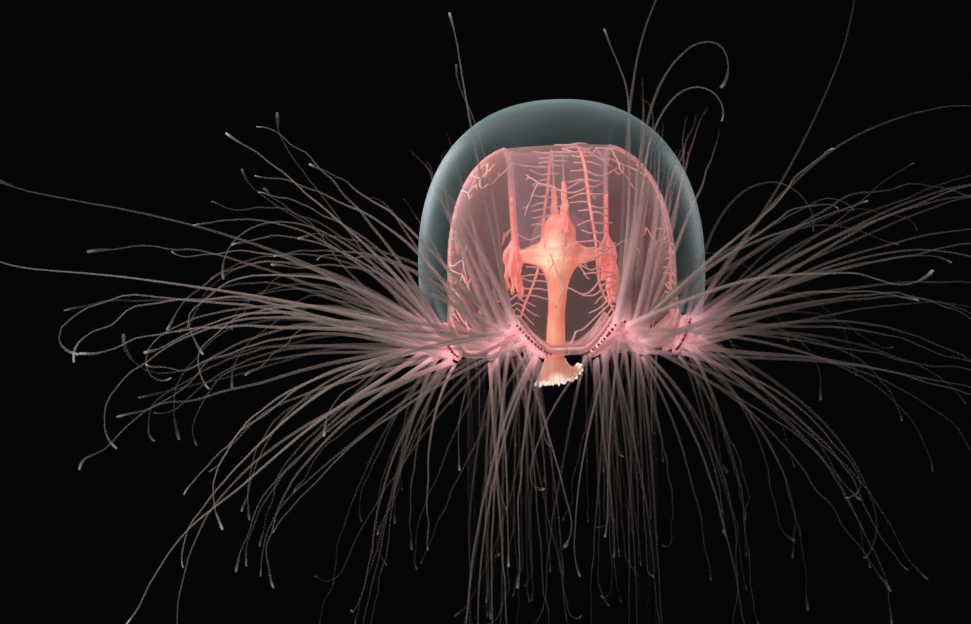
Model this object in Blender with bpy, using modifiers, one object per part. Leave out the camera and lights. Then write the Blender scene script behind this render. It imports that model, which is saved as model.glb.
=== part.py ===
"""Hair jelly, a small bell-shaped hydromedusa with eight clusters of tentacles, life size.

The medusa hangs still on a clear display stand. The model's origin is the middle of the
stand's underside, and the medusa is built round its own origin, the middle of the bell margin.
"""

import math
import random

import bmesh
import bpy
from mathutils import Vector

# Driving dimensions, in metres and degrees. Heights on the medusa are above its bell margin.
GAP = 0.0003
MARGIN_ABOVE_FLOOR = 0.105
LEAN = -2.0

BELL_RADIUS = 0.0301
BELL_HEIGHT = 0.0532
BELL_WIDEST_HEIGHT = 0.0176
BELL_FULLNESS = 2.3
MARGIN_RADIUS = 0.0273
CAVITY_RADIUS = 0.0241
CAVITY_HEIGHT = 0.0446
CAVITY_WIDEST_HEIGHT = 0.0150
CAVITY_FULLNESS_UP = 2.3
CAVITY_FULLNESS_OUT = 3.2
MARGIN_THICKNESS = 0.0018

LOBES = 8
LOBE_ANGLE = 360.0 / LOBES
CLEFT_HEIGHT = 0.0070
LOBE_FLAT = 0.30
CLEFT_CURVE = 1.4
TURNING_STEPS = 48

VELUM_OPENING_RADIUS = 0.0180
VELUM_THICKNESS = 0.0006
VELUM_RISE = 0.0016
VELUM_SAG = 0.0006

PEDUNCLE_TOP_RADIUS = 0.0100
PEDUNCLE_LOW_RADIUS = 0.0084
PEDUNCLE_LOW_HEIGHT = 0.0215
RECESS_RADIUS = 0.0044
RECESS_RISE = 0.0060

STOMACH_TOP_HEIGHT = 0.0282
STOMACH_BULB_RADIUS = 0.0034
STOMACH_ARM_RADIUS = 0.0076
STOMACH_ARM_HEIGHT = 0.0202
STOMACH_ARM_THICKNESS = 0.0012
STOMACH_WAIST = 0.50

FIRST_CANAL_AZIMUTH = LOBE_ANGLE / 2
CANAL_TWIST = 18.0
CANAL_DIAMETER = 0.0011
CANAL_END_ABOVE_RIM = 0.0024
CANAL_CLEARANCE = 0.0002
CANAL_ROOF_RUN = 0.0030

GONAD_TOP_HEIGHT = 0.0330
GONAD_END_RADIUS = 0.00055
SIDE_GONAD_LOW_HEIGHT = 0.0110
SIDE_GONAD_RADIUS = 0.0019
FRONT_GONAD_LOW_HEIGHT = 0.0235
FRONT_GONAD_RADIUS = 0.0009

MANUBRIUM_TOP_HEIGHT = 0.0160
MANUBRIUM_TOP_RADIUS = 0.0027
MANUBRIUM_WAIST_RADIUS = 0.0014
MANUBRIUM_LOW_RADIUS = 0.0020
LIP_ROOT_HEIGHT = -0.0010
LIP_DEPTH = 0.0064
LIP_RADIUS = 0.0046
MOUTH_RADIUS = 0.0030
LIP_FOLDS = 4
LIP_FOLD_DEPTH = 0.0009

TENTACLE_ROOT_WIDTH = 0.0011
TENTACLE_TIP_WIDTH = 0.0006
TENTACLE_SEGMENTS = 7
TENTACLE_SWAY = 5.0
ROOT_STEP = 0.0012
PAD_DEPTH = 0.0013
TENTACLE_SEED = 5

BASE_RADIUS = 0.060
BASE_HEIGHT = 0.008
BASE_EDGE = 0.001
ROD_RADIUS = 0.002
ROD_AZIMUTH = 3 * LOBE_ANGLE


def place(azimuth, radius, height):
    """A point on the medusa: azimuth 0 is its front, -Y, and grows towards +X."""
    angle = math.radians(azimuth)
    return Vector((radius * math.sin(angle), -radius * math.cos(angle), height))


def heading(azimuth, elevation):
    """The unit direction that points along azimuth and climbs at elevation."""
    climb = math.radians(elevation)
    return place(azimuth, math.cos(climb), math.sin(climb))


def vary(middle, swing):
    """A value near middle, off it by up to swing, that differs from call to call."""
    return middle + swing * chance.uniform(-1, 1)


def material(name, colour, roughness):
    """A plain finish for one kind of tissue or for the stand."""
    finish = bpy.data.materials.new(name)
    finish.use_nodes = True
    shader = finish.node_tree.nodes["Principled BSDF"]
    shader.inputs["Base Color"].default_value = (*colour, 1.0)
    shader.inputs["Roughness"].default_value = roughness
    shader.inputs["Metallic"].default_value = 0.0
    return finish


def add_object(name, data, finish, parent=None):
    """Puts a mesh or curve in the medusa's collection, finished and parented."""
    item = bpy.data.objects.new(name, data)
    data.materials.append(finish)
    collection.objects.link(item)
    item.parent = parent
    return item


def add_mesh(name, form, finish, parent):
    """Closes up a worked form, turns its faces out, and adds it as an object."""
    bmesh.ops.remove_doubles(form, verts=form.verts, dist=0.00001)
    bmesh.ops.recalc_face_normals(form, faces=form.faces)
    mesh = bpy.data.meshes.new(name)
    form.to_mesh(mesh)
    form.free()
    mesh.shade_smooth()
    mesh.set_sharp_from_angle(angle=math.radians(50))
    return add_object(name, mesh, finish, parent)


def turned(name, profile, finish, reshape=None, steps=TURNING_STEPS):
    """A solid turned from (radius, height) points, with each point then reshaped."""
    form = bmesh.new()
    corners = [form.verts.new(place(0, radius, height)) for radius, height in profile]
    for first, second in zip(corners, corners[1:]):
        form.edges.new((first, second))
    if profile[0] != profile[-1] and profile[0][0] > 0:
        form.edges.new((corners[-1], corners[0]))
    bmesh.ops.spin(
        form, geom=form.verts[:] + form.edges[:], cent=(0, 0, 0), axis=(0, 0, 1),
        angle=2 * math.pi, steps=steps, use_merge=True,
    )
    bmesh.ops.remove_doubles(form, verts=form.verts, dist=0.00001)
    if reshape:
        for corner in form.verts:
            radius = math.hypot(corner.co.x, corner.co.y)
            azimuth = math.degrees(math.atan2(corner.co.x, -corner.co.y))
            corner.co = place(azimuth, *reshape(azimuth, radius, corner.co.z))
    return add_mesh(name, form, finish, medusa)


def tapered_tube(name, points, radii, finish):
    """A round tube through the points, as thick at each one as its radius."""
    curve = bpy.data.curves.new(name, "CURVE")
    curve.dimensions = "3D"
    curve.bevel_depth = 1.0
    curve.bevel_resolution = 1
    curve.use_fill_caps = True
    spline = curve.splines.new("POLY")
    spline.points.add(len(points) - 1)
    for knot, point, radius in zip(spline.points, points, radii):
        knot.co = (*point, 1.0)
        knot.radius = radius
    return add_object(name, curve, finish, medusa)


def margin_height(azimuth):
    """The scalloped rim: flat under each lobe, rising to a cleft between two lobes."""
    off_centre = abs((azimuth + LOBE_ANGLE / 2) % LOBE_ANGLE - LOBE_ANGLE / 2)
    share = max(0.0, off_centre / (LOBE_ANGLE / 2) - LOBE_FLAT) / (1 - LOBE_FLAT)
    return CLEFT_HEIGHT * share ** CLEFT_CURVE


def scallop(azimuth, radius, height):
    """Draws the low part of the bell up into the clefts."""
    if height < BELL_WIDEST_HEIGHT:
        rim = margin_height(azimuth)
        height = rim + height * (BELL_WIDEST_HEIGHT - rim) / BELL_WIDEST_HEIGHT
    return radius, height


def dome(radius, base, top, fullness_out, fullness_up, steps):
    """Profile points from the top of a dome, on the axis, down to its widest ring."""
    points = []
    for step in range(steps + 1):
        turn = (math.pi / 2) * step / steps
        out = radius * math.sin(turn) ** (2 / fullness_out)
        points.append((out, base + (top - base) * math.cos(turn) ** (2 / fullness_up)))
    return points


def skirt(radius, base, rim_radius, steps):
    """Profile points from a bell's widest ring down to its rim, ring left out."""
    points = []
    for step in range(1, steps + 1):
        share = step / steps
        points.append((radius + (rim_radius - radius) * share ** 2, base * (1 - share)))
    return points


def cavity_roof(radius):
    """The height of the cavity's roof at a distance from the axis."""
    share = (1 - (radius / CAVITY_RADIUS) ** CAVITY_FULLNESS_OUT) ** (1 / CAVITY_FULLNESS_UP)
    return CAVITY_WIDEST_HEIGHT + (CAVITY_HEIGHT - CAVITY_WIDEST_HEIGHT) * share


def bell():
    outer = dome(BELL_RADIUS, BELL_WIDEST_HEIGHT, BELL_HEIGHT, BELL_FULLNESS, BELL_FULLNESS, 7)
    outer += skirt(BELL_RADIUS, BELL_WIDEST_HEIGHT, MARGIN_RADIUS, 3)
    inner = dome(
        CAVITY_RADIUS, CAVITY_WIDEST_HEIGHT, CAVITY_HEIGHT,
        CAVITY_FULLNESS_OUT, CAVITY_FULLNESS_UP, 6,
    )
    inner += skirt(CAVITY_RADIUS, CAVITY_WIDEST_HEIGHT, MARGIN_RADIUS - MARGIN_THICKNESS, 2)
    return turned("bell", outer + inner[::-1], gel, scallop)


def velum():
    rim = MARGIN_RADIUS - MARGIN_THICKNESS - 3 * GAP
    profile = [
        (rim, VELUM_RISE + VELUM_THICKNESS), (rim, VELUM_RISE),
        (VELUM_OPENING_RADIUS, VELUM_RISE - VELUM_SAG),
        (VELUM_OPENING_RADIUS, VELUM_RISE - VELUM_SAG + VELUM_THICKNESS),
    ]

    def follow_rim(azimuth, radius, height):
        share = (radius - VELUM_OPENING_RADIUS) / (rim - VELUM_OPENING_RADIUS)
        return radius, height + margin_height(azimuth) * (0.25 + 0.6 * share)

    return turned("velum", profile, membrane, follow_rim)


def peduncle_radius(height):
    """The peduncle's radius at a height, held at its low radius below its end."""
    share = (height - PEDUNCLE_LOW_HEIGHT) / (cavity_roof(PEDUNCLE_TOP_RADIUS) - PEDUNCLE_LOW_HEIGHT)
    return PEDUNCLE_LOW_RADIUS + (PEDUNCLE_TOP_RADIUS - PEDUNCLE_LOW_RADIUS) * max(0.0, share)


def peduncle():
    """The clear stalk under the roof, hollowed below to clear the stomach's bulb."""
    profile = [(radius, cavity_roof(radius) - GAP) for radius in (0.0, PEDUNCLE_TOP_RADIUS)]
    for share in (0.3, 0.65, 1.0):
        height = cavity_roof(PEDUNCLE_TOP_RADIUS) * (1 - share) + PEDUNCLE_LOW_HEIGHT * share
        profile.append((peduncle_radius(height), height))
    profile.append((RECESS_RADIUS, PEDUNCLE_LOW_HEIGHT + RECESS_RISE))
    profile.append((0.0, STOMACH_TOP_HEIGHT + 3 * GAP))
    return turned("peduncle", profile, clear_jelly, steps=20)


def stomach_lobe(azimuth):
    """How far the cross-shaped stomach reaches out along an azimuth, as a share."""
    arm_azimuth = FIRST_CANAL_AZIMUTH - CANAL_TWIST
    swing = math.cos(math.radians(2 * (azimuth - arm_azimuth)))
    return STOMACH_WAIST + (1 - STOMACH_WAIST) * swing ** 4


def stomach():
    arm_top = STOMACH_ARM_HEIGHT + STOMACH_ARM_THICKNESS / 2
    arm_foot = STOMACH_ARM_HEIGHT - STOMACH_ARM_THICKNESS / 2
    bulb_rise = STOMACH_TOP_HEIGHT - arm_top
    base = MANUBRIUM_TOP_HEIGHT + GAP
    profile = [
        (0.0, STOMACH_TOP_HEIGHT),
        (0.68 * STOMACH_BULB_RADIUS, STOMACH_TOP_HEIGHT - 0.1 * bulb_rise),
        (STOMACH_BULB_RADIUS, STOMACH_TOP_HEIGHT - 0.45 * bulb_rise),
        (1.1 * STOMACH_BULB_RADIUS, arm_top + 0.18 * bulb_rise),
        (STOMACH_ARM_RADIUS, arm_top), (STOMACH_ARM_RADIUS, arm_foot),
        (1.1 * STOMACH_BULB_RADIUS, (arm_foot + base) / 2),
        (0.85 * STOMACH_BULB_RADIUS, base), (0.0, base),
    ]

    def cross(azimuth, radius, height):
        share = max(0.0, radius - STOMACH_BULB_RADIUS) / (STOMACH_ARM_RADIUS - STOMACH_BULB_RADIUS)
        return radius * (1 + share * (stomach_lobe(azimuth) - 1)), height

    return turned("stomach", profile, gut, cross, steps=32)


def manubrium():
    outline = [
        (MANUBRIUM_TOP_RADIUS, 1.0), ((MANUBRIUM_TOP_RADIUS + MANUBRIUM_WAIST_RADIUS) / 2, 0.82),
        (MANUBRIUM_WAIST_RADIUS, 0.47), ((MANUBRIUM_WAIST_RADIUS + MANUBRIUM_LOW_RADIUS) / 2, 0.22),
        (MANUBRIUM_LOW_RADIUS, 0.0),
    ]
    span = MANUBRIUM_TOP_HEIGHT - LIP_ROOT_HEIGHT
    profile = [(radius, LIP_ROOT_HEIGHT + span * share) for radius, share in outline]
    profile = [(0.0, MANUBRIUM_TOP_HEIGHT)] + profile + [(0.0, LIP_ROOT_HEIGHT)]
    return turned("manubrium", profile, gut, steps=16)


def lips():
    """A full, folded collar round the mouth, drawn in again at its frilled edge."""
    root = LIP_ROOT_HEIGHT - GAP
    outline = [
        (MANUBRIUM_LOW_RADIUS, 0.0), (0.8 * LIP_RADIUS, 0.3), (LIP_RADIUS, 0.6), (0.87 * LIP_RADIUS, 0.85),
        (MOUTH_RADIUS, 1.0), (0.75 * MOUTH_RADIUS, 0.9), (0.65 * LIP_RADIUS, 0.62), (0.0, 0.4),
    ]
    profile = [(radius, root - LIP_DEPTH * share) for radius, share in outline]
    profile = [(0.0, root)] + profile

    def frill(azimuth, radius, height):
        share = min(1.0, radius / LIP_RADIUS)
        fold = math.cos(math.radians(LIP_FOLDS * azimuth + 40))
        return radius + LIP_FOLD_DEPTH * share * fold, height

    return turned("lips", profile, lip_tissue, frill, steps=24)


def radial_canal(number, azimuth):
    """From the top of a gonad up the peduncle, out under the roof and down the wall. It
    twists as it goes, from over its stomach arm to the cleft it ends at."""
    inset = CANAL_DIAMETER / 2 + GAP + CANAL_CLEARANCE
    run = PEDUNCLE_TOP_RADIUS + inset
    rise = [
        (run, GONAD_TOP_HEIGHT + 2 * GAP), (run, cavity_roof(run) - 3.2 * inset),
        (run + CANAL_ROOF_RUN / 2, cavity_roof(run) - 1.5 * inset),
    ]
    wall = dome(
        CAVITY_RADIUS - inset, CAVITY_WIDEST_HEIGHT, CAVITY_HEIGHT - inset,
        CAVITY_FULLNESS_OUT, CAVITY_FULLNESS_UP, 9,
    )
    wall = [point for point in wall if point[0] > run + CANAL_ROOF_RUN]
    low = margin_height(azimuth) + CANAL_END_ABOVE_RIM
    for share in (0.5, 1.0):
        radius = CAVITY_RADIUS - inset + 2 * CANAL_CLEARANCE * share ** 2
        wall.append((radius, CAVITY_WIDEST_HEIGHT + (low - CAVITY_WIDEST_HEIGHT) * share))
    points = [place(azimuth - CANAL_TWIST, radius, height) for radius, height in rise]
    for step, (radius, height) in enumerate(wall, start=1):
        twist = CANAL_TWIST * (step / len(wall) - 1)
        points.append(place(azimuth + twist, radius, height))
    return tapered_tube(f"canal_{number}", points, [CANAL_DIAMETER / 2] * len(points), canal_tissue)


def gonad(number, azimuth, low_height, widest_radius):
    """A ruffled strip that hangs down the peduncle from its canal."""
    points = []
    radii = []
    for step in range(7):
        share = step / 6
        height = GONAD_TOP_HEIGHT + (low_height - GONAD_TOP_HEIGHT) * share
        swell = math.sin(math.pi * share ** 1.5) ** 0.8
        thickness = GONAD_END_RADIUS + (widest_radius - GONAD_END_RADIUS) * swell
        outward = peduncle_radius(height) + 2 * GAP + thickness
        points.append(place(azimuth, outward, height))
        radii.append(thickness)
    return tapered_tube(f"gonad_{number}", points, radii, canal_tissue)


def tentacle_route(start, normal, azimuth, launch, ending, bend, length, sway):
    """Points of one tentacle: out of its pad, along launch, then drooping to ending."""
    points = [start, start + ROOT_STEP * normal]
    step_length = (length - ROOT_STEP) / TENTACLE_SEGMENTS
    for step in range(TENTACLE_SEGMENTS):
        share = (step + 0.5) / TENTACLE_SEGMENTS
        elevation = launch + (ending - launch) * share ** bend
        swing = azimuth + TENTACLE_SWAY * sway * math.sin(2 * math.pi * (share * 1.3 + 0.3 * sway))
        points.append(points[-1] + step_length * heading(swing, elevation))
    return points


def grow_tentacle(form, mouth, azimuth, route):
    """Joins square sections along the route to the open face of a pad."""
    across = place(azimuth + 90, 1, 0)
    ring = mouth
    for number in range(1, len(route)):
        ahead = route[min(number + 1, len(route) - 1)] - route[number - 1]
        upward = ahead.cross(across).normalized()
        share = number / (len(route) - 1)
        half = (TENTACLE_ROOT_WIDTH + (TENTACLE_TIP_WIDTH - TENTACLE_ROOT_WIDTH) * share) / 2
        corners = []
        for side, lift in ((-half, -half), (half, -half), (half, half), (-half, half)):
            corners.append(form.verts.new(route[number] + side * across + lift * upward))
        for corner in range(4):
            following = (corner + 1) % 4
            form.faces.new((ring[corner], ring[following], corners[following], corners[corner]))
        ring = corners
    form.faces.new(ring)


# A tier is one row of a cluster: where its pad sits, which face the tentacles leave, the
# azimuths of their roots and headings off the cluster's middle, and how they run.
TIERS = {
    "raised": {
        "low": 0.0036, "high": 0.0056, "half_width": 5.5, "face": "top",
        "roots": (-3.5, 3.5), "headings": (-4.5, 4.5),
        "launch": (66, 9), "ending": (5, 60), "bend": 1.6, "length": (0.086, 0.012),
    },
    "spread": {
        "low": 0.0013, "high": 0.0033, "half_width": 8.8, "face": "outer",
        "roots": (-7.0, 0.0, 7.0), "headings": (-9.0, 0.0, 9.0),
        "launch": (18, 17), "ending": (-62, 24), "bend": 2.0, "length": (0.096, 0.012),
    },
    "hanging": {
        "low": -0.0008, "high": 0.0010, "half_width": 11.2, "face": "bottom",
        "roots": (-9.5, 0.0, 9.5), "headings": (-16.0, 0.0, 16.0),
        "launch": (-28, 22), "ending": (-88, 4), "bend": 0.8, "length": (0.082, 0.010),
    },
}
FACE_CORNERS = {"bottom": (0, 1), "outer": (1, 2), "top": (2, 3), "inner": (3, 0)}
FACE_ELEVATION = {"bottom": -90, "outer": 0, "top": 90}


def tentacle_tier(cluster, tier_name):
    """A curved pad outside the bell's margin, and the tentacles that grow from it."""
    tier = TIERS[tier_name]
    middle = LOBE_ANGLE * (cluster + 0.5)
    inside = MARGIN_RADIUS + (BELL_RADIUS - MARGIN_RADIUS) * 0.75 + GAP
    outside = inside + PAD_DEPTH
    half_root = math.degrees(TENTACLE_ROOT_WIDTH / 2 / inside)
    stations = [-tier["half_width"]]
    for root in tier["roots"]:
        stations += [root - half_root, root + half_root]
    stations.append(tier["half_width"])

    form = bmesh.new()
    sections = []
    for offset in stations:
        section = []
        for radius, height in (
            (inside, tier["low"]), (outside, tier["low"]),
            (outside, tier["high"]), (inside, tier["high"]),
        ):
            section.append(form.verts.new(place(middle + offset, radius, height)))
        sections.append(section)
    form.faces.new(sections[0])
    form.faces.new(sections[-1])

    for number, (here, there) in enumerate(zip(sections, sections[1:])):
        for face, (first, second) in FACE_CORNERS.items():
            corners = (here[first], there[first], there[second], here[second])
            if number % 2 == 0 or face != tier["face"]:
                form.faces.new(corners)
                continue
            root = number // 2
            azimuth = middle + tier["headings"][root]
            start = sum((corner.co for corner in corners), Vector()) / 4
            normal = heading(middle + tier["roots"][root], FACE_ELEVATION[face])
            backness = (1 - math.cos(math.radians(middle))) / 2
            launch = vary(*tier["launch"])
            ending = vary(*tier["ending"])
            length = vary(*tier["length"])
            sway = vary(0, 1)
            if tier_name == "raised":
                ending += (launch - ending) * backness ** 2
            route = tentacle_route(start, normal, azimuth, launch, ending, tier["bend"], length, sway)
            grow_tentacle(form, corners, azimuth, route)
    return add_mesh(f"tentacles_{cluster + 1}_{tier_name}", form, tentacle_tissue, medusa)


def stand_base():
    bpy.ops.mesh.primitive_cylinder_add(
        vertices=40, radius=BASE_RADIUS, depth=BASE_HEIGHT, location=(0, 0, BASE_HEIGHT / 2)
    )
    base = bpy.context.object
    base.name = "stand_base"
    base.data.materials.append(acrylic)
    edge = base.modifiers.new("Eased edges", "BEVEL")
    edge.width = BASE_EDGE
    edge.segments = 1
    edge.limit_method = "ANGLE"
    base.data.shade_smooth()
    base.data.set_sharp_from_angle(angle=math.radians(40))
    move_to_collection(base)


def stand_rod(name, azimuth):
    """A clear rod from the base to just under the rim of a back lobe."""
    rim = medusa.matrix_world @ place(azimuth, MARGIN_RADIUS - MARGIN_THICKNESS / 2, 0)
    low = BASE_HEIGHT + GAP
    high = rim.z - 2 * GAP
    bpy.ops.mesh.primitive_cylinder_add(
        vertices=16, radius=ROD_RADIUS, depth=high - low, location=(rim.x, rim.y, (low + high) / 2)
    )
    rod = bpy.context.object
    rod.name = name
    rod.data.materials.append(acrylic)
    rod.data.shade_smooth()
    rod.data.set_sharp_from_angle(angle=math.radians(40))
    move_to_collection(rod)


def move_to_collection(item):
    for holder in item.users_collection:
        holder.objects.unlink(item)
    collection.objects.link(item)


for item in list(bpy.data.objects):
    bpy.data.objects.remove(item)

chance = random.Random(TENTACLE_SEED)
collection = bpy.data.collections.new("hair_jelly")
bpy.context.scene.collection.children.link(collection)

medusa = bpy.data.objects.new("medusa_pose", None)
collection.objects.link(medusa)
medusa.location = (0, 0, MARGIN_ABOVE_FLOOR)
medusa.rotation_euler = (0, math.radians(LEAN), 0)
bpy.context.view_layer.update()

gel = material("bell_gel", (0.10, 0.16, 0.17), 0.10)
clear_jelly = material("clear_jelly", (0.42, 0.22, 0.22), 0.15)
membrane = material("membrane", (0.55, 0.25, 0.24), 0.25)
gut = material("gut", (0.93, 0.35, 0.24), 0.30)
lip_tissue = material("lip_tissue", (0.96, 0.86, 0.72), 0.35)
canal_tissue = material("canal_tissue", (0.75, 0.22, 0.20), 0.30)
tentacle_tissue = material("tentacle_tissue", (0.45, 0.28, 0.27), 0.35)
acrylic = material("clear_acrylic", (0.90, 0.93, 0.94), 0.05)

bell()
velum()
peduncle()
stomach()
manubrium()
lips()
for quarter in range(4):
    canal_azimuth = FIRST_CANAL_AZIMUTH + 90 * quarter
    radial_canal(quarter + 1, canal_azimuth)
    if quarter % 2:
        gonad(quarter + 1, canal_azimuth - CANAL_TWIST, SIDE_GONAD_LOW_HEIGHT, SIDE_GONAD_RADIUS)
    else:
        gonad(quarter + 1, canal_azimuth - CANAL_TWIST, FRONT_GONAD_LOW_HEIGHT, FRONT_GONAD_RADIUS)
for cluster_number in range(LOBES):
    for tier_key in TIERS:
        tentacle_tier(cluster_number, tier_key)
stand_base()
stand_rod("stand_rod_left", -ROD_AZIMUTH)
stand_rod("stand_rod_right", ROD_AZIMUTH)
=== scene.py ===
import math
import random

import bmesh
import bpy
from mathutils import Matrix, Vector, noise


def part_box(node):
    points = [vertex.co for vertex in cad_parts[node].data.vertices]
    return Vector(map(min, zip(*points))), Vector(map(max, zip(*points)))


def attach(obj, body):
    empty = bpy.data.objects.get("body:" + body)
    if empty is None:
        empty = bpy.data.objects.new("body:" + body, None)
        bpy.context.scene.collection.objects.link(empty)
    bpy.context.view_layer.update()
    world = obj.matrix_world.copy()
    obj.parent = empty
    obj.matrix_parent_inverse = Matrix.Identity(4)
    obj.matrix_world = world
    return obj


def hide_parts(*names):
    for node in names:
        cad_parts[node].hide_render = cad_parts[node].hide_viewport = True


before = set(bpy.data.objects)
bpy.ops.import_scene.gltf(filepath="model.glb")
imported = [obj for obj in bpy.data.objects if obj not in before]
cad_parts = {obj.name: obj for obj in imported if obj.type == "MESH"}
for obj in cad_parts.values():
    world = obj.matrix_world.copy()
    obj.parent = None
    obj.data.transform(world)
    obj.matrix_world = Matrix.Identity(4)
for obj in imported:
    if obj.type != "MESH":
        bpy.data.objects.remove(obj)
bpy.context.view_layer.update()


# ---- The bell ----------------------------------------------------------------------------
# A deep dome of firm, clear jelly with a scalloped rim of eight lobes. It is one cast skin:
# the outside, the lined hollow, and the broad clear stalk that hangs from the hollow's roof.

MM = 0.001
LEAN = math.radians(-2.0)
LOBES = 8
LOBE_ANGLE = 360.0 / LOBES
bell_low, bell_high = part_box("bell")
bell_radius = (bell_high.x - bell_low.x) / 2
rim_radius = bell_radius - 2.8 * MM
rim_thickness = 1.8 * MM
rim_plane = bell_low.z + rim_radius * math.sin(-LEAN)
bell_height = bell_high.z - rim_plane
widest_height = 17.6 * MM
cavity_radius = bell_radius - 6.0 * MM
cavity_height = bell_height - 8.6 * MM
cavity_widest_height = 15.0 * MM
cleft_height = 7.0 * MM
stalk_radius = 9.8 * MM
stalk_low_radius = 9.2 * MM
stalk_low_height = 21.5 * MM
medusa_pose = Matrix.Translation((0, 0, rim_plane)) @ Matrix.Rotation(LEAN, 4, "Y")


def place(azimuth, radius, height):
    """A point on the medusa: azimuth 0 is its front, -Y, and grows towards +X."""
    angle = math.radians(azimuth)
    return Vector((radius * math.sin(angle), -radius * math.cos(angle), height))


def heading(azimuth, elevation):
    """The unit direction that points along azimuth and climbs at elevation."""
    climb = math.radians(elevation)
    return place(azimuth, math.cos(climb), math.sin(climb))


def margin_height(azimuth):
    """The scalloped rim: flat under each lobe, rising to a cleft between two lobes."""
    off_centre = abs((azimuth + LOBE_ANGLE / 2) % LOBE_ANGLE - LOBE_ANGLE / 2)
    share = max(0.0, off_centre / (LOBE_ANGLE / 2) - 0.3) / 0.7
    return cleft_height * share ** 1.4


def scallop(azimuth, radius, height):
    """Draws the low part of the bell up into the clefts."""
    if height < widest_height:
        rim = margin_height(azimuth)
        height = rim + height * (widest_height - rim) / widest_height
    return radius, height


def dome(radius, base, top, fullness_out, fullness_up, steps):
    """Profile points from the top of a dome, on the axis, down to its widest ring."""
    points = []
    for step in range(steps + 1):
        turn = (math.pi / 2) * step / steps
        out = radius * math.sin(turn) ** (2 / fullness_out)
        points.append((out, base + (top - base) * math.cos(turn) ** (2 / fullness_up)))
    return points


def skirt(radius, base, rim, steps):
    """Profile points from a bell's widest ring down to its rim, ring left out."""
    points = []
    for step in range(1, steps + 1):
        share = step / steps
        points.append((radius + (rim - radius) * share ** 2, base * (1 - share)))
    return points


def settle(name, mesh, finishes, nodes, smooth=True):
    """Sets a mesh made in the medusa's own frame into the model, as one piece."""
    if smooth:
        mesh.shade_smooth()
    mesh.transform(medusa_pose)
    for finish in finishes:
        mesh.materials.append(finish)
    piece = bpy.data.objects.new(name, mesh)
    bpy.context.scene.collection.objects.link(piece)
    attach(piece, "root")
    if nodes:
        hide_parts(*nodes)
    return piece


def lathe(name, profile, steps, reshape=None, finish_of_row=None):
    """A closed mesh turned from (radius, height) points that start and end on the axis."""
    corners = [place(0, 0, profile[0][1])]
    for radius, height in profile[1:-1]:
        for step in range(steps):
            azimuth = 360 * step / steps
            spot = reshape(azimuth, radius, height) if reshape else (radius, height)
            corners.append(place(azimuth, *spot))
    corners.append(place(0, 0, profile[-1][1]))
    faces = []
    rows = []
    last = len(corners) - 1
    for step in range(steps):
        after = (step + 1) % steps
        faces.append((0, 1 + step, 1 + after))
        rows.append(0)
        for row in range(len(profile) - 3):
            start = 1 + row * steps
            faces.append((start + step, start + steps + step, start + steps + after, start + after))
            rows.append(row + 1)
        start = 1 + (len(profile) - 3) * steps
        faces.append((start + step, last, start + after))
        rows.append(len(profile) - 2)
    mesh = bpy.data.meshes.new(name)
    mesh.from_pydata([tuple(corner) for corner in corners], [], faces)
    if finish_of_row:
        for face, row in zip(mesh.polygons, rows):
            face.material_index = finish_of_row(row)
    mesh.update()
    return mesh


def make_mottle():
    """A soft cloudy mask, for jelly and tissue that are never one even colour."""
    group = bpy.data.node_groups.new("tissue_mottle", "ShaderNodeTree")
    face = group.interface
    scale = face.new_socket("Scale", in_out="INPUT", socket_type="NodeSocketFloat")
    scale.default_value = 300.0
    face.new_socket("First", in_out="INPUT", socket_type="NodeSocketColor")
    face.new_socket("Second", in_out="INPUT", socket_type="NodeSocketColor")
    face.new_socket("Colour", in_out="OUTPUT", socket_type="NodeSocketColor")
    face.new_socket("Height", in_out="OUTPUT", socket_type="NodeSocketFloat")
    nodes, links = group.nodes, group.links
    entry = nodes.new("NodeGroupInput")
    leave = nodes.new("NodeGroupOutput")
    where = nodes.new("ShaderNodeTexCoord")
    cloud = nodes.new("ShaderNodeTexNoise")
    cloud.inputs["Detail"].default_value = 3.0
    spread = nodes.new("ShaderNodeMapRange")
    spread.inputs["From Min"].default_value = 0.35
    spread.inputs["From Max"].default_value = 0.65
    blend = nodes.new("ShaderNodeMix")
    blend.data_type = "RGBA"
    links.new(where.outputs["Object"], cloud.inputs["Vector"])
    links.new(entry.outputs["Scale"], cloud.inputs["Scale"])
    links.new(cloud.outputs["Fac"], spread.inputs["Value"])
    links.new(spread.outputs["Result"], blend.inputs["Factor"])
    links.new(entry.outputs["First"], blend.inputs["A"])
    links.new(entry.outputs["Second"], blend.inputs["B"])
    links.new(blend.outputs["Result"], leave.inputs["Colour"])
    links.new(cloud.outputs["Fac"], leave.inputs["Height"])
    return group


mottle = make_mottle()


def start_finish(name, first, second, scale, roughness, bump=0.0):
    """A tissue finish whose colour drifts between two shades; returns it and its nodes."""
    finish = bpy.data.materials.new(name)
    finish.use_nodes = True
    nodes, links = finish.node_tree.nodes, finish.node_tree.links
    shader = nodes["Principled BSDF"]
    shader.inputs["Roughness"].default_value = roughness
    cloudy = nodes.new("ShaderNodeGroup")
    cloudy.node_tree = mottle
    cloudy.inputs["Scale"].default_value = scale
    cloudy.inputs["First"].default_value = (*first, 1.0)
    cloudy.inputs["Second"].default_value = (*second, 1.0)
    links.new(cloudy.outputs["Colour"], shader.inputs["Base Color"])
    if bump:
        relief = nodes.new("ShaderNodeBump")
        relief.inputs["Strength"].default_value = bump
        relief.inputs["Distance"].default_value = 0.2 * MM
        links.new(cloudy.outputs["Height"], relief.inputs["Height"])
        links.new(relief.outputs["Normal"], shader.inputs["Normal"])
    return finish, shader, nodes, links


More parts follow.
